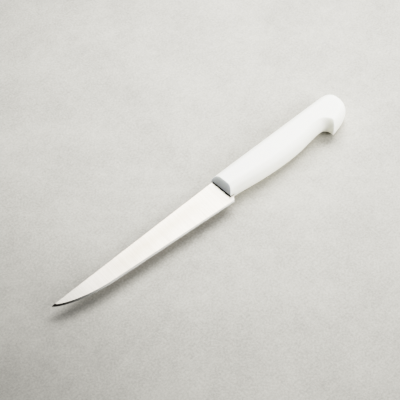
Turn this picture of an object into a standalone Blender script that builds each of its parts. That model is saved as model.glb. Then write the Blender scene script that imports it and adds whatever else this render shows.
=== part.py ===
"""A cheese knife: a narrow pointed steel blade whose tang is moulded into a one-piece plastic handle.

The knife lies on its side. X runs from the pommel to the point, Y from the back to the cutting edge, and
Z up through the thickness. Sizes are in metres. In the knife's own plan, x = 0 is the front of the handle,
y = 0 is the spine of the blade and z = 0 is the middle of the thickness. An empty carries both pieces so
that the world's origin is under the middle of the knife, on the surface that it lies on.
"""

import math

import bmesh
import bpy
from mathutils import Vector
from mathutils.geometry import interpolate_bezier, intersect_line_line_2d

# Blade
BLADE_LENGTH = 0.1558  # front of the handle to the point
HEEL_DEPTH = 0.0239  # spine to the cutting edge, level with the front of the handle
POINT_DEPTH = 0.0112  # spine to where the straight cutting edge would end, level with the point
BELLY_START = 0.1110  # front of the handle to where the cutting edge starts to curve up
BELLY_FULLNESS = 0.74  # 0.5 is a quarter ellipse, and more is a flatter curve
POINT_BLUNTNESS = 0.0003  # depth that is left at the very point
POINT_SIDE_SHARE = 0.04  # share of the depth at the point that the side grind keeps, over the bevel
SPINE_THICKNESS = 0.0015  # also the thickness of the tang
POINT_THICKNESS = 0.0009  # spine thickness near the point
SHOULDER_THICKNESS = 0.0007  # where the side grind meets the sharpened bevel
HEEL_BEVEL = 0.0013  # width of the sharpened bevel at the heel, square to the cutting edge
BEVEL_WIDTH = 0.0016  # the same from where the edge starts to curve
HEEL_FORWARD = 0.0010  # the heel's corner, in front of the handle
HEEL_SLANT = math.radians(38)  # the heel's short end leans back by this

# Tang
TANG_LENGTH = 0.0880  # front of the handle to the end of the tang
TANG_TOP = 0.0035  # spine line to the tang's upper side
TANG_FRONT_DEPTH = 0.0165  # spine line to the tang's lower side at the front
TANG_END_DEPTH = 0.0150  # the same at its end
TANG_SHOULDER = 0.0030  # the blade's full spine runs this far into the handle
TANG_STEP = 0.0040  # length over which the blade narrows to the tang
TANG_CORNER = 0.0030  # chamfers of the tang's end
TANG_HOLE_RADIUS = 0.0030  # the plastic runs through these holes and locks the tang
TANG_HOLES = (0.0220, 0.0470, 0.0720)  # front of the handle to each hole
TANG_HOLE_DEPTH = 0.0098  # spine line to the holes' centres

# Handle
HANDLE_LENGTH = 0.1266
HANDLE_THICKNESS = 0.0160
SIDE_ROUNDING = 0.0066  # how far in from the outline the rounded sides meet the flat faces
BEAK_SIDE_ROUNDING = 0.0050  # the same at the beak
FRONT_SIDE_ROUNDING = 0.0062  # the same along the belly at the front
BACK_STEP = 0.0017  # the handle's back stands this far behind the spine at the front
BACK_END_DEPTH = 0.0002  # spine line to the back line where the pommel starts
POMMEL_LENGTH = 0.0134  # end of the back line to the end of the pommel
POMMEL_CREST_DEPTH = 0.0108  # spine line to the pommel's furthest point
FRONT_DEPTH = 0.0188  # spine line to the belly at the front
BELLY_ANGLE = math.radians(1.3)  # the belly leaves the front at this angle
BELLY_RUN_IN = 0.0006  # the straight stretch of the belly behind the domed front
BELLY_DEPTH = 0.02425  # spine line to the belly's fullest point
BELLY_FULLEST = 0.0610  # front of the handle to that point
WAIST_DEPTH = 0.0217  # spine line to the waist in front of the hook
WAIST_LENGTH = 0.0025  # the straight stretch there
HOOK_RADIUS = 0.0045  # inner bend of the finger hook
HOOK_LEAN = math.radians(2)  # the hook's wall leans back by this
HOOK_DOME = 0.0047  # the hook's wall curves back by this from its middle to the flat faces
HOOK_BLEND = 0.0140  # length over which the hook's wall turns into the rounded belly
BEAK_DEPTH = 0.0300  # spine line to the beak's tip
BEAK_FROM_END = 0.0267  # end of the pommel to the beak's tip
BEAK_ANGLE = math.radians(8.2)  # the beak's outer side against the knife's axis
BEAK_ROUNDING = 0.0006  # from the beak's tip to where its rounded ridge starts
FRONT_DOME = 0.0032  # the front face curves back by this from its middle to the flat faces
FRONT_EDGE_RADIUS = 0.0011  # on the edges of the front face

# How far each curve of the handle's outline keeps the direction of its start and of its end,
# as shares of the distance between them
POMMEL_PULLS = (0.51, 0.42)
OUTER_PULLS = (0.36, 0.515)
WAIST_PULLS = (0.23, 0.46)
BELLY_PULLS = (0.53, 0.18)

CLEARANCE = 0.0003  # plastic to steel, all round the tang

# Finishes: linear colours, and roughness
STEEL_COLOUR = (0.80, 0.78, 0.74)
STEEL_ROUGHNESS = 0.32
PLASTIC_COLOUR = (0.88, 0.89, 0.88)
PLASTIC_ROUGHNESS = 0.38

# How finely curves are cut up
POINT_STEPS = 26
POMMEL_STEPS = 12
OUTER_STEPS = 16
RIDGE_STEPS = 3
HOOK_STEPS = 14
BEND_STEPS = 10
BELLY_STEPS = 12
ROUNDING_STEPS = 9
FRONT_EDGE_STEPS = 3
FRONT_EDGE_ANGLE = math.radians(40)  # only the edges of the front face are sharper than this
SMOOTH_ANGLE = math.radians(30)
HOLE_SIDES = 24
MERGE = 1e-6  # points closer than this are one
MIRROR_MERGE = 1e-5  # the same across the middle plane
SLOPE_STEP = 1e-5  # length over which the cutting edge's slope is read
BEND_REACH = 0.95  # a line that moves in towards a bend's centre stops at this share of the way

HALF_THICKNESS = HANDLE_THICKNESS / 2
POMMEL_END = -HANDLE_LENGTH
BEAK_X = POMMEL_END + BEAK_FROM_END


def clear_scene():
    for obj in list(bpy.data.objects):
        bpy.data.objects.remove(obj)


def new_collection(name):
    made = bpy.data.collections.new(name)
    bpy.context.scene.collection.children.link(made)
    return made


def material(name, colour, roughness, metallic):
    made = bpy.data.materials.new(name)
    made.use_nodes = True
    shader = made.node_tree.nodes["Principled BSDF"]
    shader.inputs["Base Color"].default_value = (*colour, 1.0)
    shader.inputs["Roughness"].default_value = roughness
    shader.inputs["Metallic"].default_value = metallic
    return made


def object_from(bm, name, collection):
    bmesh.ops.remove_doubles(bm, verts=bm.verts, dist=MERGE)
    bmesh.ops.dissolve_degenerate(bm, edges=bm.edges, dist=MERGE)
    mesh = bpy.data.meshes.new(name)
    bm.to_mesh(mesh)
    bm.free()
    obj = bpy.data.objects.new(name, mesh)
    collection.objects.link(obj)
    return obj


def loft(rows, closed):
    """Faces between each row of points and the next. A closed row joins its last point to its first."""
    bm = bmesh.new()
    grid = [[bm.verts.new(point) for point in row] for row in rows]
    count = len(rows[0])
    for low, high in zip(grid, grid[1:]):
        for i in range(count if closed else count - 1):
            j = (i + 1) % count
            bm.faces.new((low[i], low[j], high[j], high[i]))
    return bm, grid


def mirror_thickness(obj):
    """The piece is modelled above the middle plane, open there, and mirrored to its lower half."""
    mirror = obj.modifiers.new("both_sides", "MIRROR")
    mirror.use_axis = (False, False, True)
    mirror.merge_threshold = MIRROR_MERGE


def cut(obj, cutter, name):
    boolean = obj.modifiers.new(name, "BOOLEAN")
    boolean.operation = "DIFFERENCE"
    boolean.object = cutter


def hide_cutter(obj):
    obj.hide_render = True
    obj.display_type = "WIRE"


def edge_depth(x):
    """Spine to cutting edge: a straight run from the heel, then a curve up to the point."""
    depth = HEEL_DEPTH + (POINT_DEPTH - HEEL_DEPTH) * x / BLADE_LENGTH
    if x <= BELLY_START:
        return depth
    share = min(1.0, (x - BELLY_START) / (BLADE_LENGTH - BELLY_START))
    rise = POINT_DEPTH - POINT_BLUNTNESS
    return depth - rise * (1 - (1 - share**2) ** BELLY_FULLNESS)


def spine_half(x):
    """Half the spine's thickness, which thins towards the point."""
    share = max(0.0, x) / BLADE_LENGTH
    return (SPINE_THICKNESS + (POINT_THICKNESS - SPINE_THICKNESS) * share) / 2


def bevel_width(x):
    share = min(1.0, max(0.0, x) / BELLY_START)
    return HEEL_BEVEL + (BEVEL_WIDTH - HEEL_BEVEL) * share


def heel_side_half(y):
    """Half the thickness of the flat side grind at the heel, at a depth y under the spine."""
    share = y / (HEEL_DEPTH - HEEL_BEVEL)
    return spine_half(0) + (SHOULDER_THICKNESS / 2 - spine_half(0)) * share


def blade_section(x, grow):
    """Half of the blade's section at x, from the spine round to the cutting edge."""
    edge = edge_depth(x)
    climb = (edge_depth(x - SLOPE_STEP) - edge) / SLOPE_STEP
    bevel = bevel_width(x) * math.sqrt(1 + climb**2)
    shoulder = max(edge - bevel, edge * POINT_SIDE_SHARE)
    thinning = min(1.0, (edge - shoulder) / bevel)
    return [
        Vector((x, -grow, 0)),
        Vector((x, -grow, spine_half(x) * thinning + grow)),
        Vector((x, shoulder, SHOULDER_THICKNESS / 2 * thinning + grow)),
        Vector((x, edge + grow, grow)),
        Vector((x, edge + grow, 0)),
    ]


def blunt_section(x, top, bottom, halves, grow):
    """Half of a section behind the heel, which has no bevel: halves are its half thicknesses."""
    return [
        Vector((x, top - grow, 0)),
        Vector((x, top - grow, halves[0] + grow)),
        Vector((x, bottom + grow, halves[1] + grow)),
        Vector((x, bottom + grow, halves[1] + grow)),
        Vector((x, bottom + grow, 0)),
    ]


def tang_rows(grow):
    """Sections from the heel's slanted end back to the end of the tang."""
    corner = edge_depth(HEEL_FORWARD)
    slope = 1 / math.tan(HEEL_SLANT)
    heel = HEEL_FORWARD - grow
    bevel_end = heel - HEEL_BEVEL / slope
    spine_end = -TANG_SHOULDER - grow
    tang_start = spine_end - TANG_STEP
    end = -TANG_LENGTH - grow
    full = (SPINE_THICKNESS / 2, SPINE_THICKNESS / 2)
    rows = []
    for x in (bevel_end, spine_end):
        bottom = corner - (heel - x) * slope
        halves = (heel_side_half(0), heel_side_half(bottom))
        rows.append(blunt_section(x, 0, bottom, halves, grow))
    rows.append(blunt_section(tang_start, TANG_TOP, TANG_FRONT_DEPTH, full, grow))
    rows.append(blunt_section(end + TANG_CORNER, TANG_TOP, TANG_END_DEPTH, full, grow))
    end_row = blunt_section(end, TANG_TOP + TANG_CORNER, TANG_END_DEPTH - TANG_CORNER, full, grow)
    rows.append(end_row)
    return rows


def make_steel(name, stations, grow, collection):
    """The blade and its tang, or with a growth the space that they need."""
    rows = [blade_section(x, grow) for x in stations] + tang_rows(grow)
    bm, grid = loft(rows, closed=False)
    bm.faces.new(reversed(grid[0]))
    bm.faces.new(grid[-1])
    obj = object_from(bm, name, collection)
    mirror_thickness(obj)
    return obj


def hole_pins(name, radius, collection):
    """A pin through each hole of the tang, in one object."""
    bm = bmesh.new()
    for distance in TANG_HOLES:
        made = bmesh.ops.create_cone(
            bm,
            cap_ends=True,
            segments=HOLE_SIDES,
            radius1=radius,
            radius2=radius,
            depth=HALF_THICKNESS,
        )
        bmesh.ops.translate(bm, verts=made["verts"], vec=(-distance, TANG_HOLE_DEPTH, 0))
    obj = object_from(bm, name, collection)
    hide_cutter(obj)
    return obj


def make_blade(parts, cutters):
    curved = BLADE_LENGTH - BELLY_START
    curve = [
        BELLY_START + curved * math.sin(math.pi / 2 * i / POINT_STEPS)
        for i in range(POINT_STEPS, 0, -1)
    ]
    blade = make_steel("blade", [*curve, BELLY_START, BELLY_START / 2, HEEL_FORWARD], 0, parts)
    cut(blade, hole_pins("tang_hole_cutter", TANG_HOLE_RADIUS, cutters), "tang_holes")
    return blade


def bezier(start, start_dir, end, end_dir, pulls, steps):
    """Points on a curve that leaves start along start_dir and arrives at end along end_dir."""
    span = (end - start).length
    return interpolate_bezier(
        start,
        start + start_dir.normalized() * pulls[0] * span,
        end - end_dir.normalized() * pulls[1] * span,
        end,
        steps + 1,
    )


def back_contour():
    """The handle's outline from its front along the back to the pommel's furthest point."""
    front = Vector((FRONT_DOME, -BACK_STEP))
    back_end = Vector((POMMEL_END + POMMEL_LENGTH, BACK_END_DEPTH))
    crest = Vector((POMMEL_END, POMMEL_CREST_DEPTH))
    pommel = bezier(back_end, back_end - front, crest, Vector((0, 1)), POMMEL_PULLS, POMMEL_STEPS)
    return [front, *pommel]


def outer_contour():
    """From the pommel's furthest point round to the beak's tip."""
    crest = Vector((POMMEL_END, POMMEL_CREST_DEPTH))
    beak = Vector((BEAK_X, BEAK_DEPTH))
    arrive = Vector((math.cos(BEAK_ANGLE), math.sin(BEAK_ANGLE)))
    return bezier(crest, Vector((0, 1)), beak, arrive, OUTER_PULLS, OUTER_STEPS)


def hook_contour():
    """From the beak's tip down the hook's wall and round its inner bend to the waist."""
    sweep = math.pi / 2 - HOOK_LEAN
    wall = BEAK_DEPTH - WAIST_DEPTH - HOOK_RADIUS * (1 - math.cos(sweep))
    wall_foot = BEAK_X + wall * math.tan(HOOK_LEAN)
    centre = Vector((wall_foot + HOOK_RADIUS * math.sin(sweep), WAIST_DEPTH + HOOK_RADIUS))
    bend = [
        centre + HOOK_RADIUS * Vector((-math.sin(a), -math.cos(a)))
        for a in (sweep * (1 - i / BEND_STEPS) for i in range(BEND_STEPS + 1))
    ]
    return [Vector((BEAK_X, BEAK_DEPTH)), *bend]


def belly_contour():
    """From the waist along the belly to just past the front."""
    waist = hook_contour()[-1]
    waist_end = waist + Vector((WAIST_LENGTH, 0))
    fullest = Vector((-BELLY_FULLEST, BELLY_DEPTH))
    slope = Vector((1, -math.tan(BELLY_ANGLE)))
    front = Vector((0, FRONT_DEPTH))
    run_in = front - slope * (FRONT_DOME + BELLY_RUN_IN)
    ahead = Vector((1, 0))
    rear = bezier(waist_end, ahead, fullest, ahead, WAIST_PULLS, BELLY_STEPS)
    fore = bezier(fullest, ahead, run_in, slope, BELLY_PULLS, BELLY_STEPS)
    return [waist, *rear, *fore[1:], front + slope * FRONT_DOME]


def rounded(height, width):
    """How far a rounded side lies in from the outline, at a height above the middle."""
    return width * (1 - math.sqrt(max(0.0, 1 - (height / HALF_THICKNESS) ** 2)))


def domed(height, rise):
    """The same for a shallow arc that reaches the flat faces with a rise."""
    radius = (HALF_THICKNESS**2 + rise**2) / (2 * rise)
    return radius - math.sqrt(radius**2 - height**2)


def mix(a, b, share):
    return a + (b - a) * share


def smooth(share):
    share = min(1.0, max(0.0, share))
    return share * share * (3 - 2 * share)


def back_insets(height):
    """The rounding of the back and the pommel, which tightens towards the beak."""
    even = [SIDE_ROUNDING] * (POMMEL_STEPS + 2)
    tightening = [
        mix(SIDE_ROUNDING, BEAK_SIDE_ROUNDING, i / OUTER_STEPS) for i in range(1, OUTER_STEPS + 1)
    ]
    return [rounded(height, width) for width in even + tightening]


def belly_insets(points, height):
    """The hook's domed wall, then the rounded belly, which tightens towards the front."""
    foot = points[1].x
    insets = []
    for point in points:
        width = mix(FRONT_SIDE_ROUNDING, SIDE_ROUNDING, smooth(-point.x / BELLY_FULLEST))
        share = smooth((point.x - foot) / HOOK_BLEND)
        insets.append(mix(domed(height, HOOK_DOME), rounded(height, width), share))
    return insets


def moved_in(points, insets):
    """The line moved into the plastic, stopping short of the centre of a tighter bend."""
    moved = []
    last = len(points) - 1
    for i, (point, distance) in enumerate(zip(points, insets)):
        first = point - points[max(0, i - 1)]
        second = points[min(last, i + 1)] - point
        along = (first + second).normalized()
        reach = distance
        if 0 < i < last:
            turn = first.angle_signed(second, 0.0)
            if turn > 0:
                reach = min(distance, BEND_REACH * (first.length + second.length) / 2 / turn)
        moved.append(point + reach * Vector((along.y, -along.x)))
    return moved


def crossing(first, second):
    """Where two lines of points cross: how many points of each lie outside it, and the place."""
    for j in range(1, len(second)):
        for i in range(len(first) - 1, 0, -1):
            found = intersect_line_line_2d(first[i - 1], first[i], second[j - 1], second[j])
            if found is not None:
                return i, j, found
    return len(first) - 1, 1, first[-1]


def stretch(points, steps, skip_start=0.0, skip_end=0.0):
    """Points an equal way apart along a line, which may leave out a length at either end."""
    lengths = [0.0]
    for a, b in zip(points, points[1:]):
        lengths.append(lengths[-1] + (b - a).length)
    made = []
    k = 0
    for i in range(steps + 1):
        want = mix(skip_start, lengths[-1] - skip_end, i / steps)
        while k < len(points) - 2 and lengths[k + 1] < want:
            k += 1
        gap = max(lengths[k + 1] - lengths[k], MERGE)
        made.append(points[k].lerp(points[k + 1], (want - lengths[k]) / gap))
    return made


def at_x(a, b, x):
    """The point at x on the line through a and b."""
    return Vector((x, mix(a.y, b.y, (x - a.x) / (b.x - a.x))))


def handle_ring(height):
    """The handle's outline at a height above its middle."""
    front = -domed(height, FRONT_DOME)
    back = back_contour() + outer_contour()[1:]
    back = moved_in(back, back_insets(height))
    back, outer = back[: POMMEL_STEPS + 2], back[POMMEL_STEPS + 1 :]
    belly = hook_contour() + belly_contour()[1:]
    belly = moved_in(belly, belly_insets(belly, height))
    hook, belly = belly[: BEND_STEPS + 2], belly[BEND_STEPS + 1 :]
    i, j, ridge = crossing(outer, hook)
    back[0] = at_x(back[0], back[1], front)
    belly[-1] = at_x(belly[-2], belly[-1], front)
    outer = stretch([*outer[:i], ridge], OUTER_STEPS, skip_end=BEAK_ROUNDING)
    hook = stretch([ridge, *hook[j:]], HOOK_STEPS, skip_start=BEAK_ROUNDING)
    nose = interpolate_bezier(outer[-1], ridge, ridge, hook[0], RIDGE_STEPS + 1)
    ring = [*back, *outer[1:], *nose[1:-1], *hook, *belly[1:]]
    return [Vector((point.x, point.y, height)) for point in reversed(ring)]


def make_handle(parts, cutters):
    rings = [
        handle_ring(HALF_THICKNESS * math.sin(math.pi / 2 * i / ROUNDING_STEPS))
        for i in range(ROUNDING_STEPS + 1)
    ]
    bm, grid = loft(rings, closed=True)
    bm.faces.new(grid[-1])
    handle = object_from(bm, "handle", parts)
    mirror_thickness(handle)
    edge = handle.modifiers.new("front_edge", "BEVEL")
    edge.width = FRONT_EDGE_RADIUS
    edge.segments = FRONT_EDGE_STEPS
    edge.limit_method = "ANGLE"
    edge.angle_limit = FRONT_EDGE_ANGLE
    slot = make_steel("tang_slot_cutter", [HANDLE_THICKNESS, HEEL_FORWARD], CLEARANCE, cutters)
    hide_cutter(slot)
    cut(slot, hole_pins("tang_post_cutter", TANG_HOLE_RADIUS - CLEARANCE, cutters), "posts")
    cut(handle, slot, "tang_slot")
    return handle


def place(objects):
    """Puts the middle of the knife's box over the origin, with the flat side down at z = 0."""
    depths = [point.y for point in handle_ring(0)]
    carrier = bpy.data.objects.new("cheese_knife", None)
    bpy.context.scene.collection.objects.link(carrier)
    carrier.location = (
        (HANDLE_LENGTH - BLADE_LENGTH) / 2,
        -(min(depths) + max(depths)) / 2,
        HALF_THICKNESS,
    )
    for obj in objects:
        obj.parent = carrier


def main():
    clear_scene()
    parts = new_collection("cheese_knife")
    cutters = new_collection("cutters")
    steel = material("satin_steel", STEEL_COLOUR, STEEL_ROUGHNESS, 1.0)
    plastic = material("white_plastic", PLASTIC_COLOUR, PLASTIC_ROUGHNESS, 0.0)
    blade = make_blade(parts, cutters)
    handle = make_handle(parts, cutters)
    for obj, finish in ((blade, steel), (handle, plastic)):
        obj.data.materials.append(finish)
        obj.data.shade_smooth()
        obj.data.set_sharp_from_angle(angle=SMOOTH_ANGLE)
    place([*parts.objects, *cutters.objects])


main()
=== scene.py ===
"""The look of a cheese knife: fine meshes and finishes for its blade and its handle, on a pale floor.

Lengths are in metres. In the knife's own plan, x = 0 is the front of the handle, y = 0 is the spine of
the blade and z = 0 is the middle of the thickness. X runs to the point and Y to the cutting edge.
"""

import math

import bmesh
import bpy
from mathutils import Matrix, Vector
from mathutils.geometry import interpolate_bezier, intersect_line_line_2d


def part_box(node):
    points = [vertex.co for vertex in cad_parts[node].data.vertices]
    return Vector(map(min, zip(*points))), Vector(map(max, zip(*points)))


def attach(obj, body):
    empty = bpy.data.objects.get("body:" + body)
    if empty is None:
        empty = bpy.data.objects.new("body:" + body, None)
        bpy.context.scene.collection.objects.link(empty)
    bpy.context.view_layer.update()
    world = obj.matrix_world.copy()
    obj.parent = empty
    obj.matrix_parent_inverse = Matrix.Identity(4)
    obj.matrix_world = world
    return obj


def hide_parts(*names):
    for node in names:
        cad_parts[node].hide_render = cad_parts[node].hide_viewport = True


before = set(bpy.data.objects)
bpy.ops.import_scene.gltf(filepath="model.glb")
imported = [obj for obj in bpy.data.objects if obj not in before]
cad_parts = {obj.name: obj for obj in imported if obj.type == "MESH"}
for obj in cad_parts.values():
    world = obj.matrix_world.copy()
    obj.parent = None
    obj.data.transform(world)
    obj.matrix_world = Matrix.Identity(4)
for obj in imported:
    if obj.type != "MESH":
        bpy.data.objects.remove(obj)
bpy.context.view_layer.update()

handle_low, handle_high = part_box("handle")
blade_low, blade_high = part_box("blade")

# Blade
BLADE_LENGTH = blade_high.x - handle_high.x  # front of the handle to the point
HEEL_DEPTH = 0.0239  # spine to the cutting edge, level with the front of the handle
POINT_DEPTH = 0.0112  # spine to where the straight cutting edge would end, level with the point
BELLY_START = 0.1110  # front of the handle to where the cutting edge starts to curve up
BELLY_FULLNESS = 0.74  # 0.5 is a quarter ellipse, and more is a flatter curve
POINT_BLUNTNESS = 0.0003  # depth that is left at the very point
POINT_SIDE_SHARE = 0.04  # share of the depth at the point that the side grind keeps, over the bevel
SPINE_THICKNESS = 0.0015  # also the thickness of the tang
POINT_THICKNESS = 0.0009  # spine thickness near the point
SHOULDER_THICKNESS = 0.0007  # where the side grind meets the sharpened bevel
EDGE_THICKNESS = 0.00004  # of the cutting edge
SPINE_CHAMFER = 0.00012  # along both edges of the spine
HEEL_BEVEL = 0.0013  # width of the sharpened bevel at the heel, square to the cutting edge
BEVEL_WIDTH = 0.0016  # the same from where the edge starts to curve
HEEL_FORWARD = 0.0010  # the heel's corner, in front of the handle
HEEL_SLANT = math.radians(38)  # the heel's short end leans back by this

# Tang
TANG_LENGTH = handle_high.x - blade_low.x  # front of the handle to the end of the tang
TANG_TOP = 0.0035  # spine line to the tang's upper side
TANG_FRONT_DEPTH = 0.0165  # spine line to the tang's lower side at the front
TANG_END_DEPTH = 0.0150  # the same at its end
TANG_SHOULDER = 0.0030  # the blade's full spine runs this far into the handle
TANG_STEP = 0.0040  # length over which the blade narrows to the tang
TANG_CORNER = 0.0030  # chamfers of the tang's end
TANG_HOLE_RADIUS = 0.0030
TANG_HOLES = (0.0220, 0.0470, 0.0720)  # front of the handle to each hole
TANG_HOLE_DEPTH = 0.0098  # spine line to the holes' centres
CLEARANCE = 0.0003  # plastic to steel, all round the tang

# Handle
HANDLE_LENGTH = handle_high.x - handle_low.x
HALF_THICKNESS = (handle_high.z - handle_low.z) / 2
SIDE_ROUNDING = 0.0066  # how far in from the outline the rounded sides meet the flat faces
BEAK_SIDE_ROUNDING = 0.0050  # the same at the beak
FRONT_SIDE_ROUNDING = 0.0062  # the same along the belly at the front
BACK_STEP = 0.0017  # the handle's back stands this far behind the spine at the front
BACK_END_DEPTH = 0.0002  # spine line to the back line where the pommel starts
POMMEL_LENGTH = 0.0134  # end of the back line to the end of the pommel
POMMEL_CREST_DEPTH = 0.0108  # spine line to the pommel's furthest point
FRONT_DEPTH = 0.0188  # spine line to the belly at the front
BELLY_ANGLE = math.radians(1.3)  # the belly leaves the front at this angle
BELLY_RUN_IN = 0.0006  # the straight stretch of the belly behind the domed front
BELLY_DEPTH = 0.02425  # spine line to the belly's fullest point
BELLY_FULLEST = 0.0610  # front of the handle to that point
WAIST_DEPTH = 0.0217  # spine line to the waist in front of the hook
WAIST_LENGTH = 0.0025  # the straight stretch there
HOOK_RADIUS = 0.0045  # inner bend of the finger hook
HOOK_LEAN = math.radians(2)  # the hook's wall leans back by this
HOOK_DOME = 0.0047  # the hook's wall curves back by this from its middle to the flat faces
HOOK_BLEND = 0.0140  # length over which the hook's wall turns into the rounded belly
BEAK_DEPTH = handle_high.y - blade_low.y  # spine line to the beak's tip
BEAK_FROM_END = 0.0267  # end of the pommel to the beak's tip
BEAK_ANGLE = math.radians(8.2)  # the beak's outer side against the knife's axis
BEAK_ROUNDING = 0.0006  # from the beak's tip to where its rounded ridge starts
FRONT_DOME = 0.0032  # the front face curves back by this from its middle to the flat faces
FRONT_EDGE_RADIUS = 0.0011  # on the edges of the front face
GROOVE_WIDTH = 0.0003  # between the steel and the plastic at the handle's front
GROOVE_DEPTH = 0.0020  # it narrows to the tang's clearance over this

# How far each curve of the handle's outline keeps the direction of its start and of its end,
# as shares of the distance between them
POMMEL_PULLS = (0.51, 0.42)
OUTER_PULLS = (0.36, 0.515)
WAIST_PULLS = (0.23, 0.46)
BELLY_PULLS = (0.53, 0.18)

# How finely curves are cut up
POINT_STEPS = 90
STRAIGHT_STEPS = 12
SIDE_STEPS = 10
BEVEL_STEPS = 3
POMMEL_STEPS = 32
OUTER_STEPS = 44
RIDGE_STEPS = 8
HOOK_STEPS = 36
BEND_STEPS = 28
BELLY_STEPS = 34
FRONT_STEPS = 16
ROUNDING_STEPS = 28
FRONT_EDGE_STEPS = 6
FRONT_EDGE_ANGLE = math.radians(40)  # only the edges of the front face are sharper than this
HOLE_SIDES = 48
MERGE = 1e-7  # points closer than this are one
SLOPE_STEP = 1e-5  # length over which the cutting edge's slope is read
BEND_REACH = 0.95  # a line that moves in towards a bend's centre stops at this share of the way
STEEL_CREASE = math.radians(5)  # edges of the steel that are sharper than this stay crisp
PLASTIC_CREASE = math.radians(30)  # the same for the plastic

# Camera
VIEW_AZIMUTH = math.radians(45.55)  # from +X towards +Y, as for the lights
VIEW_ELEVATION = math.radians(52)
VIEW_DISTANCE = 1.0
VIEW_LENS = 123.27  # mm
VIEW_SENSOR = 36.0  # mm
VIEW_CENTRE = Vector((0.018, 0.00512, 0.0))  # in the knife's plan

# Light
LIGHT_DISTANCE = 1.6
KEY_AZIMUTH = math.radians(206)
KEY_ELEVATION = math.radians(43)
KEY_SIZE = (1.40, 0.94)
KEY_GLOW = 14.1
FILL_AZIMUTH = math.radians(114)
FILL_ELEVATION = math.radians(30)
FILL_SIZE = (1.0, 1.0)
FILL_GLOW = 8.5
ROOM_COLOUR = (0.92, 1.0, 1.10, 1)
ROOM_GLOW = 0.24

# Steel: the places of the painted highlight and shade in its tones on the blade
COOL_START = 0.1496  # the flats' painted highlight is cool from here to the point
WARM_END = 0.0546  # and warm from the handle up to here
DIM_START = 0.1196  # it gets dimmer from here, a painted shade
DIM_END = 0.1526  # to here
SHADE_STRIPE_START = 0.0140  # a stripe of painted shade in the highlight starts here
SHADE_STRIPE_FULL = 0.0280  # is at its full strength from here
SHADE_STRIPE_FADE = 0.0760  # fades from here
SHADE_STRIPE_END = 0.1196  # and ends here
SHADE_STRIPE_MIDDLE = 0.0070  # it is darkest this far below the spine
SHADE_STRIPE_DEPTH = 0.0150  # and reaches this far below it
SHADE_STRIPE_SHARE = 0.30
PALE_REACH = 0.0050  # painted light makes the flats paler from here to the handle, against the handle's shade
PALE_FULL = 0.0010
HEEL_REACH = 0.0035  # and painted shade makes them greyer from here to the heel
HEEL_FULL = 0.0010
JOINT_REACH = 0.0005  # the painted shadow line along the joint is this wide in front of the handle
JOINT_SOFTNESS = 0.0003
FRONT_FADE = 0.0004  # what lies in front of the handle fades over this at the handle's belly
DARK_EDGE_START = 0.1120  # the sharpened bevel darkens from here, a painted dark reflection
DARK_EDGE_END = 0.1580
BEVEL_FACING = 0.990  # a face whose direction is less upright than this is the bevel
FLAT_FACING = 0.997  # and one that is more upright than this is a flat

# Steel: its tones, which hold painted highlight and shade, and its grinding lines. A pair of tones is
# the darkest and the palest of the lines.
# The flats' tones are a painted highlight: dim and cool towards the point, warm near the handle.
DIM_HIGHLIGHT_STEEL = ((0.27, 0.252, 0.225, 1), (0.355, 0.333, 0.297, 1))
COOL_HIGHLIGHT_STEEL = ((0.365, 0.335, 0.296, 1), (0.48, 0.442, 0.39, 1))
WARM_HIGHLIGHT_STEEL = ((0.455, 0.385, 0.31, 1), (0.68, 0.585, 0.475, 1))
# Painted shade: the bevel's tones are darker than the flats.
BEVEL_SHADE_STEEL = ((0.33, 0.32, 0.29, 1), (0.47, 0.46, 0.43, 1))
# Painted shade for the stripe along the middle of the flats.
SHADE_STRIPE_STEEL = (0.30, 0.238, 0.155, 1)
# Painted light on the steel in front of the handle.
PAINTED_LIGHT_STEEL = (0.83, 0.775, 0.67, 1)
# Painted shade on the steel at the heel beside the handle.
HEEL_SHADE_STEEL = (0.43, 0.40, 0.355, 1)
# Painted shadow along the joint with the handle.
JOINT_SHADOW_STEEL = (0.05, 0.05, 0.05, 1)
# Painted dark reflection on the bevel near the point.
DARK_REFLECTION_STEEL = (0.045, 0.042, 0.038, 1)
SCRATCH_SIZE = 0.0005  # across the flats' grinding lines
SCRATCH_SCALE = (1, 0.02, 0.02)  # they are 50 times as long
SCRATCH_LEAN = math.radians(6)  # their ends at the cutting edge lean towards the point
STROKE_SIZE = 0.00035  # across the bevel's grinding lines
STROKE_SCALE = (1, 0.08, 0.08)  # they are 12 times as long
STROKE_LEAN = math.radians(-25)  # their ends at the cutting edge lean towards the handle
STEEL_CLOUD_SIZE = 0.016
SCRATCH_SHARE = 0.65  # of the flats' tone, and clouds have the rest
STEEL_TONE_RANGE = (0.3, 0.7)
STEEL_ROUGHNESS = 0.43
STEEL_ROUGHENING = 0.05  # by the lines and by the clouds
BEVEL_SMOOTHING = 0.20
STROKE_ROUGHENING = 0.06
STEEL_RELIEF = 0.000004

# Plastic
WHITE_PLASTIC = ((0.882, 0.86, 0.77, 1), (0.922, 0.90, 0.81, 1))
# Painted shade: a cooler tint for the handle's front face.
FRONT_SHADE_PLASTIC = (0.855, 0.872, 0.868, 1)
FRONT_FACING = (0.4, 0.9)  # the painted shade's cool tone on the front starts, and is full, where a face looks ahead this much
PLASTIC_CLOUD_SIZE = 0.022
PLASTIC_GRAIN_SIZE = 0.00035
PLASTIC_SWELL_SIZE = 0.012
PLASTIC_ROUGHNESS = 0.36
PLASTIC_CLOUD_ROUGHENING = 0.08
PLASTIC_GRAIN_ROUGHENING = 0.06
PLASTIC_SWELL_RELIEF = 0.00003
PLASTIC_GRAIN_RELIEF = 0.000006

# Floor
FLOOR_REACH = 3.0  # from its middle to each side
FLOOR_TONES = ((0.2465, 0.2356, 0.2093, 1), (0.5435, 0.5196, 0.4615, 1))
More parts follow.
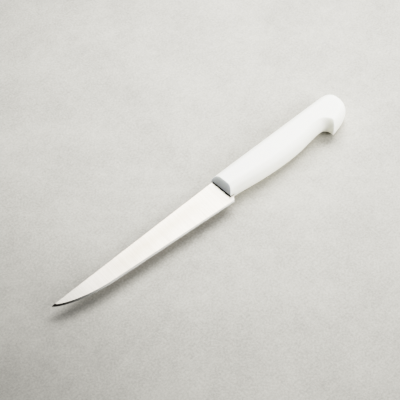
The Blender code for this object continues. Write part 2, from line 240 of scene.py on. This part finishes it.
# Painted shade: the floor's colour is blended towards this by the painted falloff of light.
FLOOR_SHADE = (0, 0, 0, 1)
FLOOR_LIGHTEST = (-0.0896, -0.0482, 0.0)  # the brightest place of the painted light, behind the handle
FLOOR_FADE = 0.469  # the floor's painted light falls off over this distance from its brightest place
FLOOR_FAR = 0.4  # to this share
FLOOR_DARKEST = (0.336, 0.003, 0.0)  # the darkest place of a painted shade, beyond the point
FLOOR_RISE = 0.311  # and the painted shade lifts over this distance from its darkest
FLOOR_LOW = 0.5  # from this share
FLOOR_CLOUD_SIZE = 0.060
FLOOR_PATCH_SIZE = 0.008
FLOOR_GRAIN_SIZE = 0.0016
FLOOR_CLOUD_SHARE = 0.30
FLOOR_PATCH_SHARE = 0.20
FLOOR_GRAIN_SHARE = 0.50
FLOOR_TONE_RANGE = (0.2, 0.8)
FLOOR_ROUGHNESS = 0.75
FLOOR_ROUGHENING = 0.1
FLOOR_RELIEF = 0.00010

POMMEL_END = -HANDLE_LENGTH
BEAK_X = POMMEL_END + BEAK_FROM_END
PLAN_ORIGIN = Vector((handle_high.x, blade_low.y, (handle_low.z + handle_high.z) / 2))


def mix(a, b, share):
    return a + (b - a) * share


def smooth(share):
    share = min(1.0, max(0.0, share))
    return share * share * (3 - 2 * share)


# Blade's shape


def edge_depth(x):
    """Spine to cutting edge: a straight run from the heel, then a curve up to the point."""
    depth = HEEL_DEPTH + (POINT_DEPTH - HEEL_DEPTH) * x / BLADE_LENGTH
    if x <= BELLY_START:
        return depth
    share = min(1.0, (x - BELLY_START) / (BLADE_LENGTH - BELLY_START))
    rise = POINT_DEPTH - POINT_BLUNTNESS
    return depth - rise * (1 - (1 - share**2) ** BELLY_FULLNESS)


def spine_half(x):
    share = max(0.0, x) / BLADE_LENGTH
    return mix(SPINE_THICKNESS, POINT_THICKNESS, share) / 2


def bevel_width(x):
    share = min(1.0, max(0.0, x) / BELLY_START)
    return mix(HEEL_BEVEL, BEVEL_WIDTH, share)


def steel_section(x, top, shoulder, edge, halves, grow):
    """A closed ring round the steel at x: halves are its half thicknesses at top, shoulder and edge."""
    chamfer = min(SPINE_CHAMFER, halves[0] / 2)
    half = [
        (top - grow, halves[0] - chamfer + grow),
        (top + chamfer - grow, halves[0] + grow),
    ]
    for i in range(1, SIDE_STEPS + 1):
        share = i / SIDE_STEPS
        half.append((mix(top + chamfer, shoulder, share), mix(halves[0], halves[1], share) + grow))
    for i in range(1, BEVEL_STEPS + 1):
        share = i / BEVEL_STEPS
        half.append((mix(shoulder, edge + grow, share), mix(halves[1], halves[2], share) + grow))
    upper = [Vector((x, y, z)) for y, z in half]
    lower = [Vector((x, y, -z)) for y, z in reversed(half)]
    return upper + lower


def blade_section(x, grow):
    edge = edge_depth(x)
    climb = (edge_depth(x - SLOPE_STEP) - edge) / SLOPE_STEP
    bevel = bevel_width(x) * math.sqrt(1 + climb**2)
    shoulder = max(edge - bevel, edge * POINT_SIDE_SHARE)
    thinning = min(1.0, (edge - shoulder) / bevel)
    halves = (spine_half(x) * thinning, SHOULDER_THICKNESS / 2 * thinning, EDGE_THICKNESS / 2)
    return steel_section(x, 0.0, shoulder, edge, halves, grow)


def heel_side_half(y):
    share = y / (HEEL_DEPTH - HEEL_BEVEL)
    return mix(spine_half(0), SHOULDER_THICKNESS / 2, share)


def tang_rows(grow):
    """Sections from the heel's slanted end back to the end of the tang."""
    corner = edge_depth(HEEL_FORWARD)
    slope = 1 / math.tan(HEEL_SLANT)
    heel = HEEL_FORWARD - grow
    bevel_end = heel - HEEL_BEVEL / slope
    spine_end = -TANG_SHOULDER - grow
    end = -TANG_LENGTH - grow
    full = (SPINE_THICKNESS / 2,) * 3
    rows = []
    for x in (bevel_end, spine_end):
        bottom = corner - (heel - x) * slope
        low_half = heel_side_half(bottom)
        rows.append(steel_section(x, 0, bottom, bottom, (heel_side_half(0), low_half, low_half), grow))
    for x, top, bottom in (
        (spine_end - TANG_STEP, TANG_TOP, TANG_FRONT_DEPTH),
        (end + TANG_CORNER, TANG_TOP, TANG_END_DEPTH),
        (end, TANG_TOP + TANG_CORNER, TANG_END_DEPTH - TANG_CORNER),
    ):
        rows.append(steel_section(x, top, bottom, bottom, full, grow))
    return rows


# Handle's shape


def bezier(start, start_dir, end, end_dir, pulls, steps):
    """Points on a curve that leaves start along start_dir and arrives at end along end_dir."""
    span = (end - start).length
    return interpolate_bezier(
        start,
        start + start_dir.normalized() * pulls[0] * span,
        end - end_dir.normalized() * pulls[1] * span,
        end,
        steps + 1,
    )


def back_contour():
    """The handle's outline from its front along the back to the pommel's furthest point."""
    front = Vector((FRONT_DOME, -BACK_STEP))
    back_end = Vector((POMMEL_END + POMMEL_LENGTH, BACK_END_DEPTH))
    crest = Vector((POMMEL_END, POMMEL_CREST_DEPTH))
    pommel = bezier(back_end, back_end - front, crest, Vector((0, 1)), POMMEL_PULLS, POMMEL_STEPS)
    return [front, *pommel]


def outer_contour():
    """From the pommel's furthest point round to the beak's tip."""
    crest = Vector((POMMEL_END, POMMEL_CREST_DEPTH))
    beak = Vector((BEAK_X, BEAK_DEPTH))
    arrive = Vector((math.cos(BEAK_ANGLE), math.sin(BEAK_ANGLE)))
    return bezier(crest, Vector((0, 1)), beak, arrive, OUTER_PULLS, OUTER_STEPS)


def hook_contour():
    """From the beak's tip down the hook's wall and round its inner bend to the waist."""
    sweep = math.pi / 2 - HOOK_LEAN
    wall = BEAK_DEPTH - WAIST_DEPTH - HOOK_RADIUS * (1 - math.cos(sweep))
    wall_foot = BEAK_X + wall * math.tan(HOOK_LEAN)
    centre = Vector((wall_foot + HOOK_RADIUS * math.sin(sweep), WAIST_DEPTH + HOOK_RADIUS))
    bend = [
        centre + HOOK_RADIUS * Vector((-math.sin(a), -math.cos(a)))
        for a in (sweep * (1 - i / BEND_STEPS) for i in range(BEND_STEPS + 1))
    ]
    return [Vector((BEAK_X, BEAK_DEPTH)), *bend]


def belly_contour():
    """From the waist along the belly to just past the front."""
    waist = hook_contour()[-1]
    waist_end = waist + Vector((WAIST_LENGTH, 0))
    fullest = Vector((-BELLY_FULLEST, BELLY_DEPTH))
    slope = Vector((1, -math.tan(BELLY_ANGLE)))
    front = Vector((0, FRONT_DEPTH))
    run_in = front - slope * (FRONT_DOME + BELLY_RUN_IN)
    ahead = Vector((1, 0))
    rear = bezier(waist_end, ahead, fullest, ahead, WAIST_PULLS, BELLY_STEPS)
    fore = bezier(fullest, ahead, run_in, slope, BELLY_PULLS, BELLY_STEPS)
    return [waist, *rear, *fore[1:], front + slope * FRONT_DOME]


def rounded(height, width):
    """How far a rounded side lies in from the outline, at a height above the middle."""
    return width * (1 - math.sqrt(max(0.0, 1 - (height / HALF_THICKNESS) ** 2)))


def domed(height, rise):
    """The same for a shallow arc that reaches the flat faces with a rise."""
    radius = (HALF_THICKNESS**2 + rise**2) / (2 * rise)
    return radius - math.sqrt(radius**2 - height**2)


def back_insets(height):
    """The rounding of the back and the pommel, which tightens towards the beak."""
    even = [SIDE_ROUNDING] * (POMMEL_STEPS + 2)
    tightening = [
        mix(SIDE_ROUNDING, BEAK_SIDE_ROUNDING, i / OUTER_STEPS) for i in range(1, OUTER_STEPS + 1)
    ]
    return [rounded(height, width) for width in even + tightening]


def belly_insets(points, height):
    """The hook's domed wall, then the rounded belly, which tightens towards the front."""
    foot = points[1].x
    insets = []
    for point in points:
        width = mix(FRONT_SIDE_ROUNDING, SIDE_ROUNDING, smooth(-point.x / BELLY_FULLEST))
        share = smooth((point.x - foot) / HOOK_BLEND)
        insets.append(mix(domed(height, HOOK_DOME), rounded(height, width), share))
    return insets


def moved_in(points, insets):
    """The line moved into the plastic, stopping short of the centre of a tighter bend."""
    moved = []
    last = len(points) - 1
    for i, (point, distance) in enumerate(zip(points, insets)):
        first = point - points[max(0, i - 1)]
        second = points[min(last, i + 1)] - point
        along = (first + second).normalized()
        reach = distance
        if 0 < i < last:
            turn = first.angle_signed(second, 0.0)
            if turn > 0:
                reach = min(distance, BEND_REACH * (first.length + second.length) / 2 / turn)
        moved.append(point + reach * Vector((along.y, -along.x)))
    return moved


def crossing(first, second):
    """Where two lines of points cross: how many points of each lie outside it, and the place."""
    for j in range(1, len(second)):
        for i in range(len(first) - 1, 0, -1):
            found = intersect_line_line_2d(first[i - 1], first[i], second[j - 1], second[j])
            if found is not None:
                return i, j, found
    return len(first) - 1, 1, first[-1]


def stretch(points, steps, skip_start=0.0, skip_end=0.0):
    """Points an equal way apart along a line, which may leave out a length at either end."""
    lengths = [0.0]
    for a, b in zip(points, points[1:]):
        lengths.append(lengths[-1] + (b - a).length)
    made = []
    k = 0
    for i in range(steps + 1):
        want = mix(skip_start, lengths[-1] - skip_end, i / steps)
        while k < len(points) - 2 and lengths[k + 1] < want:
            k += 1
        gap = max(lengths[k + 1] - lengths[k], MERGE)
        made.append(points[k].lerp(points[k + 1], (want - lengths[k]) / gap))
    return made


def at_x(a, b, x):
    """The point at x on the line through a and b."""
    return Vector((x, mix(a.y, b.y, (x - a.x) / (b.x - a.x))))


def handle_ring(height):
    """The handle's outline at a height above its middle, with points across its front."""
    front = -domed(height, FRONT_DOME)
    back = back_contour() + outer_contour()[1:]
    back = moved_in(back, back_insets(height))
    back, outer = back[: POMMEL_STEPS + 2], back[POMMEL_STEPS + 1 :]
    belly = hook_contour() + belly_contour()[1:]
    belly = moved_in(belly, belly_insets(belly, height))
    hook, belly = belly[: BEND_STEPS + 2], belly[BEND_STEPS + 1 :]
    i, j, ridge = crossing(outer, hook)
    back[0] = at_x(back[0], back[1], front)
    belly[-1] = at_x(belly[-2], belly[-1], front)
    outer = stretch([*outer[:i], ridge], OUTER_STEPS, skip_end=BEAK_ROUNDING)
    hook = stretch([ridge, *hook[j:]], HOOK_STEPS, skip_start=BEAK_ROUNDING)
    nose = interpolate_bezier(outer[-1], ridge, ridge, hook[0], RIDGE_STEPS + 1)
    across = stretch([belly[-1], back[0]], FRONT_STEPS)
    ring = [*back, *outer[1:], *nose[1:-1], *hook, *belly[1:], *across[1:-1]]
    return [Vector((point.x, point.y, height)) for point in reversed(ring)]


# Meshes


def loft(rows):
    """A closed skin through rings of points, with a flat face on each end."""
    bm = bmesh.new()
    grid = [[bm.verts.new(point) for point in row] for row in rows]
    count = len(rows[0])
    for low, high in zip(grid, grid[1:]):
        for i in range(count):
            j = (i + 1) % count
            bm.faces.new((low[i], low[j], high[j], high[i]))
    bm.faces.new(reversed(grid[0]))
    bm.faces.new(grid[-1])
    return bm


def object_from(bm, name):
    """An object in the knife's plan, which stands where the frame has the knife."""
    bmesh.ops.remove_doubles(bm, verts=bm.verts, dist=MERGE)
    bmesh.ops.dissolve_degenerate(bm, edges=bm.edges, dist=MERGE)
    bmesh.ops.recalc_face_normals(bm, faces=bm.faces)
    bmesh.ops.translate(bm, verts=bm.verts, vec=PLAN_ORIGIN)
    mesh = bpy.data.meshes.new(name)
    bm.to_mesh(mesh)
    bm.free()
    obj = bpy.data.objects.new(name, mesh)
    bpy.context.scene.collection.objects.link(obj)
    return obj


def cut(obj, cutter):
    boolean = obj.modifiers.new("cut", "BOOLEAN")
    boolean.operation = "DIFFERENCE"
    boolean.object = cutter


def settle(obj, cutters):
    """Fixes the object's modifiers into its mesh and clears its cutters away."""
    graph = bpy.context.evaluated_depsgraph_get()
    mesh = bpy.data.meshes.new_from_object(obj.evaluated_get(graph))
    obj.modifiers.clear()
    obj.data = mesh
    for cutter in cutters:
        bpy.data.objects.remove(cutter)


def crisp(obj, angle):
    """Smooth shading that keeps the creases, and that follows the wide faces."""
    obj.data.shade_smooth()
    obj.data.set_sharp_from_angle(angle=angle)
    weighting = obj.modifiers.new("wide_faces_first", "WEIGHTED_NORMAL")
    weighting.keep_sharp = True


def hole_pins(radius):
    """A pin through each hole of the tang."""
    bm = bmesh.new()
    for distance in TANG_HOLES:
        made = bmesh.ops.create_cone(
            bm,
            cap_ends=True,
            segments=HOLE_SIDES,
            radius1=radius,
            radius2=radius,
            depth=HALF_THICKNESS,
        )
        bmesh.ops.translate(bm, verts=made["verts"], vec=(-distance, TANG_HOLE_DEPTH, 0))
    return object_from(bm, "pins")


def make_blade():
    curved = BLADE_LENGTH - BELLY_START
    curve = [
        BELLY_START + curved * math.sin(math.pi / 2 * i / POINT_STEPS)
        for i in range(POINT_STEPS, 0, -1)
    ]
    straight = [mix(BELLY_START, HEEL_FORWARD, i / STRAIGHT_STEPS) for i in range(STRAIGHT_STEPS + 1)]
    rows = [blade_section(x, 0) for x in [*curve, *straight]] + tang_rows(0)
    blade = object_from(loft(rows), "blade_fine")
    pins = hole_pins(TANG_HOLE_RADIUS)
    cut(blade, pins)
    settle(blade, [pins])
    crisp(blade, STEEL_CREASE)
    return blade


def groove():
    """The narrow gap round the steel at the handle's front, which tapers inwards."""
    half = SPINE_THICKNESS / 2
    ahead = HALF_THICKNESS  # well in front of the handle
    rows = [
        steel_section(x, -CLEARANCE, BEAK_DEPTH, BEAK_DEPTH, (half, half, half), gap)
        for x, gap in ((ahead, GROOVE_WIDTH), (0, GROOVE_WIDTH), (-GROOVE_DEPTH, 0))
    ]
    return object_from(loft(rows), "groove")


def make_handle():
    heights = [
        HALF_THICKNESS * math.sin(math.pi / 2 * i / ROUNDING_STEPS)
        for i in range(-ROUNDING_STEPS, ROUNDING_STEPS + 1)
    ]
    handle = object_from(loft([handle_ring(height) for height in heights]), "handle_fine")
    edge = handle.modifiers.new("front_edge", "BEVEL")
    edge.width = FRONT_EDGE_RADIUS
    edge.segments = FRONT_EDGE_STEPS
    edge.limit_method = "ANGLE"
    edge.angle_limit = FRONT_EDGE_ANGLE
    ahead = 2 * HALF_THICKNESS  # well in front of the handle
    slot_rows = [blade_section(x, CLEARANCE) for x in (ahead, HEEL_FORWARD)]
    slot = object_from(loft(slot_rows + tang_rows(CLEARANCE)), "slot")
    posts = hole_pins(TANG_HOLE_RADIUS - CLEARANCE)
    mouth = groove()
    cut(slot, posts)
    cut(handle, slot)
    cut(handle, mouth)
    settle(handle, [slot, posts, mouth])
    crisp(handle, PLASTIC_CREASE)
    return handle


# Finishes


class Wire:
    """One output of a finish's nodes. Sums on it add Math nodes."""

    def __init__(self, finish, socket):
        self.finish = finish
        self.socket = socket

    def sum(self, operation, first, second):
        return self.finish.node("ShaderNodeMath", {"operation": operation}, {0: first, 1: second})

    def __add__(self, other):
        return self.sum("ADD", self, other)

    def __radd__(self, other):
        return self.sum("ADD", other, self)

    def __sub__(self, other):
        return self.sum("SUBTRACT", self, other)

    def __rsub__(self, other):
        return self.sum("SUBTRACT", other, self)

    def __mul__(self, other):
        return self.sum("MULTIPLY", self, other)

    def __rmul__(self, other):
        return self.sum("MULTIPLY", other, self)


class Finish:
    """A material that is being put together round its Principled BSDF."""

    def __init__(self, name, **constants):
        self.material = bpy.data.materials.new(name)
        self.material.use_nodes = True
        self.tree = self.material.node_tree
        self.surface = self.tree.nodes["Principled BSDF"]
        for socket, value in constants.items():
            self.surface.inputs[socket.replace("_", " ")].default_value = value

    def node(self, kind, settings, inputs, output=0):
        """Adds a node: its settings first, then its inputs' values or wires. Gives one output."""
        made = self.tree.nodes.new(kind)
        for name, value in settings.items():
            setattr(made, name, value)
        for name, value in inputs.items():
            if isinstance(value, Wire):
                self.tree.links.new(value.socket, made.inputs[name])
            else:
                made.inputs[name].default_value = value
        return Wire(self, made.outputs[output])

    def feed(self, socket, wire):
        self.tree.links.new(wire.socket, self.surface.inputs[socket])

    def place(self, scale=(1, 1, 1), turn=0.0):
        """The place on the object in metres, turned about Z and then scaled along each axis."""
        here = self.node("ShaderNodeTexCoord", {}, {}, "Object")
        turned = self.node("ShaderNodeMapping", {}, {"Vector": here, "Rotation": (0, 0, turn)})
        return self.node("ShaderNodeVectorMath", {"operation": "MULTIPLY"}, {0: turned, 1: scale})

    def facing(self, axis):
        """How far the surface faces along one axis of the object."""
        direction = self.node("ShaderNodeTexCoord", {}, {}, "Normal")
        return self.node("ShaderNodeSeparateXYZ", {}, {"Vector": direction}, axis)

    def along(self, axis):
        """The place along one axis of the knife's plan."""
        settings = {"operation": "SUBTRACT"}
        here = self.node("ShaderNodeVectorMath", settings, {0: self.place(), 1: PLAN_ORIGIN})
        return self.node("ShaderNodeSeparateXYZ", {}, {"Vector": here}, axis)

    def distance(self, point):
        """How far a place is from a point, in metres."""
        settings = {"operation": "DISTANCE"}
        return self.node("ShaderNodeVectorMath", settings, {0: self.place(), 1: point}, "Value")

    def noise(self, place, size, detail, roughness=0.5):
        """Soft noise from 0 to 1 whose blotches have this size in metres."""
        inputs = {"Vector": place, "Scale": 1 / size, "Detail": detail, "Roughness": roughness}
        return self.node("ShaderNodeTexNoise", {}, inputs, "Fac")

    def band(self, value, low, high, to_low=0.0, to_high=1.0):
        """Maps a value's range from low to high smoothly onto another."""
        settings = {"interpolation_type": "SMOOTHSTEP"}
        inputs = {"Value": value, 1: low, 2: high, 3: to_low, 4: to_high}
        return self.node("ShaderNodeMapRange", settings, inputs)

    def blend(self, share, first, second):
        """A colour between two."""
        settings = {"data_type": "RGBA"}
        return self.node("ShaderNodeMix", settings, {0: share, 6: first, 7: second}, 2)

    def relief(self, height, depth, under=None):
        """A normal bent by a height that runs from 0 to 1, over a depth in metres."""
        inputs = {"Height": height, "Distance": depth, "Strength": 1.0}
        if under is not None:
            inputs["Normal"] = under
        return self.node("ShaderNodeBump", {}, inputs)


def flats_colour(finish, tone):
    """Painted highlight and shade: warm near the handle, cool and dim at the point, with a darker
    stripe and a painted shadow at the joint.
    """
    along = finish.along("X")
    across = finish.along("Y")
    # The flats' tones are a painted highlight, warm near the handle and cooler and dimmer towards the
    # point.
    cool = finish.blend(tone, *COOL_HIGHLIGHT_STEEL)
    warm = finish.blend(tone, *WARM_HIGHLIGHT_STEEL)
    flat = finish.blend(finish.band(along, COOL_START, WARM_END), cool, warm)
    dim = finish.blend(tone, *DIM_HIGHLIGHT_STEEL)
    flat = finish.blend(finish.band(along, DIM_START, DIM_END), flat, dim)
    # A stripe of painted shade in the highlight, along the middle of the flats.
    shade_stripe = finish.band(across, 0.0, SHADE_STRIPE_MIDDLE) * finish.band(across, SHADE_STRIPE_DEPTH, SHADE_STRIPE_MIDDLE)
    shade_stripe = shade_stripe * finish.band(along, SHADE_STRIPE_START, SHADE_STRIPE_FULL) * finish.band(along, SHADE_STRIPE_END, SHADE_STRIPE_FADE)
    flat = finish.blend(shade_stripe * SHADE_STRIPE_SHARE, flat, SHADE_STRIPE_STEEL)
    front = finish.band(across, FRONT_DEPTH + FRONT_FADE, FRONT_DEPTH)
    # Painted light in front of the handle, against the shade the handle casts.
    pale = front * finish.band(along, PALE_REACH, PALE_FULL)
    flat = finish.blend(pale, flat, PAINTED_LIGHT_STEEL)
    # Painted shade at the heel beside the handle.
    heel = finish.band(across, FRONT_DEPTH - FRONT_FADE, FRONT_DEPTH + FRONT_FADE)
    heel = heel * finish.band(along, HEEL_REACH, HEEL_FULL)
    flat = finish.blend(heel, flat, HEEL_SHADE_STEEL)
    # A painted shadow line along the joint with the handle.
    joint_shadow = front * finish.band(along, JOINT_REACH + JOINT_SOFTNESS, JOINT_REACH)
    return finish.blend(joint_shadow, flat, JOINT_SHADOW_STEEL)


def satin_steel():
    """Steel ground across its flats, with a smoother finish on the sharpened bevel, whose colour turns
    to a painted dark reflection near the point.
    """
    finish = Finish("satin_steel", Metallic=1.0)
    upright = finish.node("ShaderNodeMath", {"operation": "ABSOLUTE"}, {0: finish.facing("Z")})
    bevel = finish.band(upright, BEVEL_FACING, FLAT_FACING, 1.0, 0.0)
    scratched = finish.place(SCRATCH_SCALE, SCRATCH_LEAN)
    scratches = finish.noise(scratched, SCRATCH_SIZE, detail=3.0, roughness=0.6)
    stroked = finish.place(STROKE_SCALE, STROKE_LEAN)
    strokes = finish.noise(stroked, STROKE_SIZE, detail=3.0, roughness=0.6)
    clouds = finish.noise(finish.place(), STEEL_CLOUD_SIZE, detail=3.0)
    tone = scratches * SCRATCH_SHARE + clouds * (1 - SCRATCH_SHARE)
    flat = flats_colour(finish, finish.band(tone, *STEEL_TONE_RANGE))
    # The bevel's tones are darker than the flats: painted shade.
    bright = finish.blend(strokes, *BEVEL_SHADE_STEEL)
    # A painted dark reflection takes over the bevel towards the point.
    dark_reflection = finish.band(finish.along("X"), DARK_EDGE_START, DARK_EDGE_END)
    edge = finish.blend(dark_reflection, bright, DARK_REFLECTION_STEEL)
    finish.feed("Base Color", finish.blend(bevel, flat, edge))
    satin = STEEL_ROUGHNESS + scratches * STEEL_ROUGHENING + clouds * STEEL_ROUGHENING
    finish.feed("Roughness", satin - bevel * (BEVEL_SMOOTHING - strokes * STROKE_ROUGHENING))
    lines = finish.node("ShaderNodeMix", {}, {0: bevel, 2: scratches, 3: strokes})
    finish.feed("Normal", finish.relief(lines, STEEL_RELIEF))
    return finish.material


def moulded_plastic():
    """White, with a faint grain from its mould, and a little cooler on its front face, a painted tint
    of the shade there.
    """
    finish = Finish(
        "moulded_plastic",
        IOR=1.49,
        Subsurface_Weight=0.6,
        Subsurface_Radius=(1, 1, 0.95),
        Subsurface_Scale=0.0035,
    )
    clouds = finish.noise(finish.place(), PLASTIC_CLOUD_SIZE, detail=3.0)
    grain = finish.noise(finish.place(), PLASTIC_GRAIN_SIZE, detail=2.0)
    swell = finish.noise(finish.place(), PLASTIC_SWELL_SIZE, detail=1.0)
    # A painted shade tint: the front face, which looks ahead into shade, is made cooler.
    front = finish.band(finish.along("X"), -2 * FRONT_DOME, -FRONT_DOME)
    front = front * finish.band(finish.facing("X"), *FRONT_FACING)
    finish.feed("Base Color", finish.blend(front, finish.blend(clouds, *WHITE_PLASTIC), FRONT_SHADE_PLASTIC))
    roughness = PLASTIC_ROUGHNESS + clouds * PLASTIC_CLOUD_ROUGHENING
    finish.feed("Roughness", roughness + grain * PLASTIC_GRAIN_ROUGHENING)
    coarse = finish.relief(swell, PLASTIC_SWELL_RELIEF)
    finish.feed("Normal", finish.relief(grain, PLASTIC_GRAIN_RELIEF, coarse))
    return finish.material


def pale_floor():
    """Mottled grey, with painted light that is brightest behind the handle and a painted shade beyond
    the point.
    """
    finish = Finish("pale_floor")
    clouds = finish.noise(finish.place(), FLOOR_CLOUD_SIZE, detail=5.0, roughness=0.6)
    patches = finish.noise(finish.place(), FLOOR_PATCH_SIZE, detail=4.0, roughness=0.65)
    grain = finish.noise(finish.place(), FLOOR_GRAIN_SIZE, detail=3.0, roughness=0.7)
    mottle = clouds * FLOOR_CLOUD_SHARE + patches * FLOOR_PATCH_SHARE + grain * FLOOR_GRAIN_SHARE
    mottle = finish.band(mottle, *FLOOR_TONE_RANGE)
    # Painted light and shade: the floor darkens away from behind the handle and towards a place beyond
    # the point.
    light_falloff = finish.band(finish.distance(FLOOR_LIGHTEST), 0.0, FLOOR_FADE, 1.0, FLOOR_FAR)
    rise = finish.band(finish.distance(FLOOR_DARKEST), 0.0, FLOOR_RISE, FLOOR_LOW, 1.0)
    stone = finish.blend(mottle, *FLOOR_TONES)
    finish.feed("Base Color", finish.blend(light_falloff * rise, FLOOR_SHADE, stone))
    finish.feed("Roughness", FLOOR_ROUGHNESS + mottle * FLOOR_ROUGHENING)
    finish.feed("Normal", finish.relief(grain, FLOOR_RELIEF))
    return finish.material


# Stage


def add_floor():
    bm = bmesh.new()
    bmesh.ops.create_grid(bm, x_segments=1, y_segments=1, size=FLOOR_REACH)
    mesh = bpy.data.meshes.new("floor")
    bm.to_mesh(mesh)
    bm.free()
    floor = bpy.data.objects.new("floor", mesh)
    bpy.context.scene.collection.objects.link(floor)
    mesh.materials.append(pale_floor())


def facing_out(azimuth, elevation):
    """The direction from the knife at these angles, from +X towards +Y and up."""
    level = math.cos(elevation)
    return Vector((math.cos(azimuth) * level, math.sin(azimuth) * level, math.sin(elevation)))


def add_camera():
    lens = bpy.data.cameras.new("camera")
    lens.lens = VIEW_LENS
    lens.sensor_width = VIEW_SENSOR
    camera = bpy.data.objects.new("camera", lens)
    back = facing_out(VIEW_AZIMUTH, VIEW_ELEVATION)
    camera.location = PLAN_ORIGIN + VIEW_CENTRE + back * VIEW_DISTANCE
    camera.rotation_euler = back.to_track_quat("Z", "Y").to_euler()
    bpy.context.scene.collection.objects.link(camera)
    bpy.context.scene.camera = camera


def add_softbox(name, azimuth, elevation, size, glow):
    """A soft light that faces the knife. A lamp's power is pi times its glow times its area."""
    lamp = bpy.data.lights.new(name, "AREA")
    lamp.shape = "RECTANGLE"
    lamp.size, lamp.size_y = size
    lamp.energy = math.pi * glow * lamp.size * lamp.size_y
    box = bpy.data.objects.new(name, lamp)
    out = facing_out(azimuth, elevation)
    box.location = out * LIGHT_DISTANCE
    box.rotation_euler = out.to_track_quat("Z", "Y").to_euler()
    bpy.context.scene.collection.objects.link(box)


def add_light():
    world = bpy.data.worlds.new("room")
    bpy.context.scene.world = world
    world.use_nodes = True
    room = world.node_tree.nodes["Background"]
    room.inputs["Color"].default_value = ROOM_COLOUR
    room.inputs["Strength"].default_value = ROOM_GLOW
    add_softbox("key", KEY_AZIMUTH, KEY_ELEVATION, KEY_SIZE, KEY_GLOW)
    add_softbox("fill", FILL_AZIMUTH, FILL_ELEVATION, FILL_SIZE, FILL_GLOW)


def main():
    add_camera()
    add_floor()
    add_light()
    blade = make_blade()
    blade.data.materials.append(satin_steel())
    handle = make_handle()
    handle.data.materials.append(moulded_plastic())
    for piece, node, slot in ((blade, "blade", "blade_steel"), (handle, "handle", "handle_plastic")):
        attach(piece, "root")
        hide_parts(node)
    bpy.context.scene.view_settings.view_transform = "Filmic"
    bpy.context.scene.view_settings.look = "Very High Contrast"


main()
